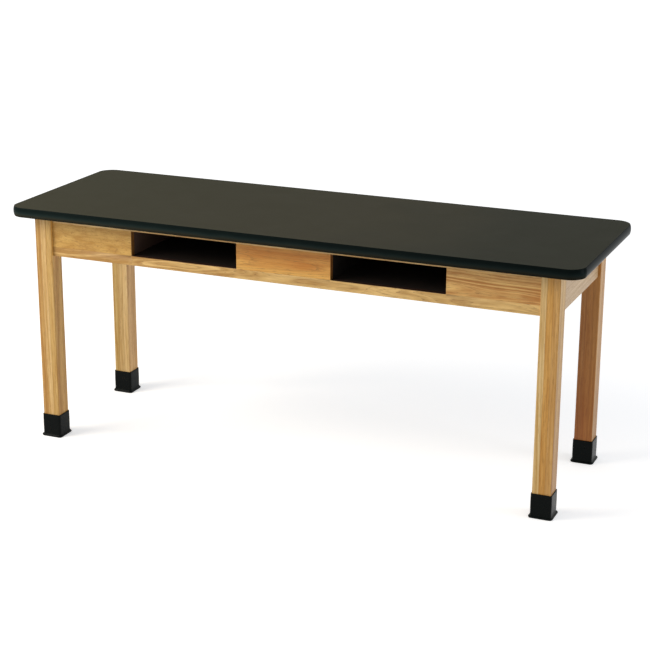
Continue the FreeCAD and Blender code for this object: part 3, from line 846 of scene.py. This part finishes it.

# Given tones. Each board has its heart (mm beside its middle) and its lean (degrees) for its own figure.
OAK_BOARDS = {
    "front_top_rail": dict(along="X", pale="#E4C284", dark="#C49654"),
    "front_bottom_rail": dict(along="X", pale="#E8C27C", dark="#B48846", heart=(40, 4), tilt=(1.5, 0.7),
                              ring_mm=7, rings=0.6, streaks=0.1, contrast=1.35, flecks=0.2,
                              cloud_mm=(80, 14), painted_shade_drift=-0.1, sway_mm=70, painted_shade_sill=True),
    "front_left_panel": dict(along="X", pale="#D7AD5D", dark="#B68538", heart=(60, 30), tilt=(0.6, 0.9),
                             rings=0.2, streaks=0.15, contrast=0.9, fleck_mm=(8, 3), cloud_mm=(45, 14),
                             pore=0.4),
    "front_centre_panel": dict(along="X", pale="#E8B45C", dark="#C57C2B", heart=(70, 12), tilt=(0.9, 1.2),
                               rings=0.3, streaks=0.25, contrast=1.1, flecks=0.35),
    "front_right_panel": dict(along="X", pale="#ECC074", dark="#B97B38", heart=(50, 26), tilt=(0.2, 0.7),
                              ring_mm=7, rings=0.65, streaks=0.1, contrast=1.4, flecks=0.3,
                              cloud_mm=(80, 14)),
    "rear_apron": dict(along="X", pale=HONEY, dark=AMBER, heart=(-60, 10), tilt=(0.5, 1.1), ring_mm=10,
                       rings=0.6),
    "left_end_apron": dict(along="Y", pale=HONEY, dark=AMBER, heart=(25, 130)),
    "right_end_apron": dict(along="Y", pale="#BEA47D", dark="#A28258", heart=(-25, 150), flecks=0.2),
    "cross_rail": dict(along="Y", pale=HONEY, dark=AMBER, heart=(20, 90)),
    "compartment_cleats": dict(along="Y", pale="#D8B684", dark="#B48A54", heart=(15, 60)),
}

# Each leg's three strip colours, partly the wood's own tone and partly painted shade, darkest on the rear
# right leg, which stands in shade under the table; then the painted shade of its foot; then the painted
# light and shade of its right face at the head and at the foot
LEG_TINTS_AND_PAINTED_SHADE = {
    "front_left": (("#DAC7A3", "#F0E9DD", "#E6DCBF"), "#FFFFFF", ("#FFE9B3", "#D5BC8B")),
    "front_right": (("#FFFFFF", "#EFD39E", "#EBD5B3"), "#FFFFFF", ("#D5CAAC", "#B4977A")),
    "rear_left": (("#DCD8C0", "#E2DFD6", "#F2F2F2"), "#FFFFFF", ("#F2DEC8", "#F2DEC8")),
    "rear_right": (("#D7B28F", "#E0BC95", "#DDBA8E"), "#CDAC84", ("#D1BCA0", "#B09678")),
}


def dress_oak():
    """Planed boards and legs, each cut from its own place in a log."""
    for node, figure in OAK_BOARDS.items():
        look = make_oak("varnished_oak." + node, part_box(node), **figure)
        dress(make_planed(node), look)
    for number, (corner, strips) in enumerate(LEG_TINTS_AND_PAINTED_SHADE.items()):
        node = corner + "_leg"
        look = make_oak("varnished_oak." + node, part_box(node), along="Z", pale="#F1D49A", dark="#C89C52",
                        heart=(18 + 9 * number, 70), tilt=(0.8, 0.5), ring_mm=12, rings=0.35, streaks=0.5,
                        flecks=0.2, fleck_mm=(60, 3), strips=strips)
        dress(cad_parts[node], look)


def dress_rest():
    """The worktop, the boots, the compartments and the steel."""
    rubber, steel = make_rubber(), make_zinc()
    black = make_black_board("black_faced_board", "#231F1D", "#35302D")
    # painted light: the left compartment's outer side is a paler, browner board, as oak light bounces onto it
    painted_light_board = make_black_board("black_faced_board_painted_light", "#54423A", "#6E574A")
    dress(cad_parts["worktop_laminate"], make_laminate())
    dress(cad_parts["worktop_core"], make_particle_board())
    dress(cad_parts["worktop_backer"], make_backer())
    dress(make_edge_band(), make_edging())
    dress(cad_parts["cross_rail_dowels"], make_beech())
    for corner in CORNERS:
        dress(make_boot(corner), rubber)
        dress(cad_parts[corner + "_corner_brace"], steel)
    for side in ("left", "right"):
        for part in ("inner_side", "outer_side", "floor", "back"):
            node = side + "_compartment_" + part
            look = painted_light_board if node == "left_compartment_outer_side" else black
            dress(make_planed(node, BOARD_ARRIS), look)
    dress(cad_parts["worktop_clips"], steel)
    for node in ("brace_screws", "worktop_clip_screws", "cleat_screws", "compartment_screws"):
        dress(make_screws(node), steel)
    for piece in (make_bolts(), make_nuts(), make_washers()):
        dress(piece, steel)


# Studio


def make_camera():
    """The photograph's viewing angle: right, up and forward from yaw and pitch, then the small roll."""
    yaw, pitch = CAMERA_YAW, CAMERA_PITCH
    forward = Vector((-math.sin(yaw) * math.cos(pitch), math.cos(yaw) * math.cos(pitch), -math.sin(pitch)))
    level = Vector((math.cos(yaw), math.sin(yaw), 0))
    upright = level.cross(forward)
    right = level * math.cos(CAMERA_ROLL) + upright * math.sin(CAMERA_ROLL)
    up = right.cross(forward)
    camera = bpy.data.objects.new("camera", bpy.data.cameras.new("camera"))
    bpy.context.scene.collection.objects.link(camera)
    turn = Matrix((right, up, -forward)).transposed().to_4x4()
    camera.matrix_world = Matrix.Translation(CAMERA_PLACE) @ turn
    camera.data.sensor_width = SENSOR_MM
    camera.data.lens = FOCAL_PIXELS * SENSOR_MM / PHOTO_SIDE
    camera.data.clip_start, camera.data.clip_end = CAMERA_NEAR, CAMERA_FAR
    bpy.context.scene.camera = camera


def seen_directly(tree):
    """1 for rays from the camera, off gloss and through glass, which see the studio's white."""
    ray = add(tree, "LightPath").outputs
    either = add(tree, "Math", {0: ray["Is Camera Ray"], 1: ray["Is Glossy Ray"]}, operation="MAXIMUM")
    return add(tree, "Math", {0: either, 1: ray["Is Transmission Ray"]}, operation="MAXIMUM")


def make_floor():
    """A plain pale floor that keeps the shadow, and is lifted to white where nothing shades it.

    Its lift grows away from the table, from 2 to 5 m, as a studio's cove fades to white.
    """
    mesh = bpy.data.meshes.new("floor")
    corners = [(x * FLOOR_HALF, y * FLOOR_HALF, 0) for x, y in ((-1, -1), (1, -1), (1, 1), (-1, 1))]
    mesh.from_pydata(corners, [], [(0, 1, 2, 3)])
    floor = bpy.data.objects.new("floor", mesh)
    bpy.context.scene.collection.objects.link(floor)
    made, tree, place = new_material("painted_studio_floor")
    matt = add(tree, "BsdfDiffuse", {"Color": colour("#EDEDEB")})
    away = add(tree, "VectorMath", {0: place}, operation="LENGTH")
    lift = add(tree, "MapRange", {
        "Value": away, "From Min": 2.0, "From Max": 5.0, "To Min": 0.5, "To Max": 0.72,
    })
    lift = add(tree, "Math", {0: lift, 1: seen_directly(tree)}, operation="MULTIPLY")
    lift = add(tree, "Emission", {"Color": colour("#FFFFFF"), "Strength": lift})
    painted = add(tree, "AddShader", {0: matt, 1: lift})
    below = add(tree, "NewGeometry").outputs["Backfacing"]
    clear = add(tree, "BsdfTransparent")
    add(tree, "OutputMaterial", {"Surface": add(tree, "MixShader", {0: below, 1: painted, 2: clear})})
    dress(floor, made)


def make_world():
    """White where it is seen, and a plain soft light from all round elsewhere."""
    world = bpy.data.worlds.new("studio")
    bpy.context.scene.world = world
    world.use_nodes = True
    tree = world.node_tree
    tree.nodes.clear()
    soft = add(tree, "Background", {"Color": colour("#F4F8FF"), "Strength": 0.5})
    white = add(tree, "Background", {"Color": (1.0, 1.0, 1.0, 1.0), "Strength": 1.0})
    add(tree, "OutputWorld", {"Surface": add(tree, "MixShader", {0: seen_directly(tree), 1: soft, 2: white})})


def make_lamp(name, azimuth, elevation, distance, side, power, shade):
    """A square soft box aimed at the table's middle; azimuth 0 is in front and 90 at the right end."""
    light = bpy.data.lights.new(name, "AREA")
    light.shape, light.size = "SQUARE", side
    light.energy = power
    light.color = colour(shade)[:3]
    lamp = bpy.data.objects.new(name, light)
    bpy.context.scene.collection.objects.link(lamp)
    a, e = math.radians(azimuth), math.radians(elevation)
    way = Vector((math.sin(a) * math.cos(e), -math.cos(a) * math.cos(e), math.sin(e)))
    turn = way.to_track_quat("Z", "Y").to_matrix().to_4x4()
    lamp.matrix_world = Matrix.Translation(Vector(LAMP_AIM) + way * distance) @ turn


dress_oak()
dress_rest()
make_camera()
make_floor()
make_world()
for lamp_name, setting in LAMPS.items():
    make_lamp(lamp_name, *setting)
bpy.context.scene.view_settings.view_transform = "Standard"
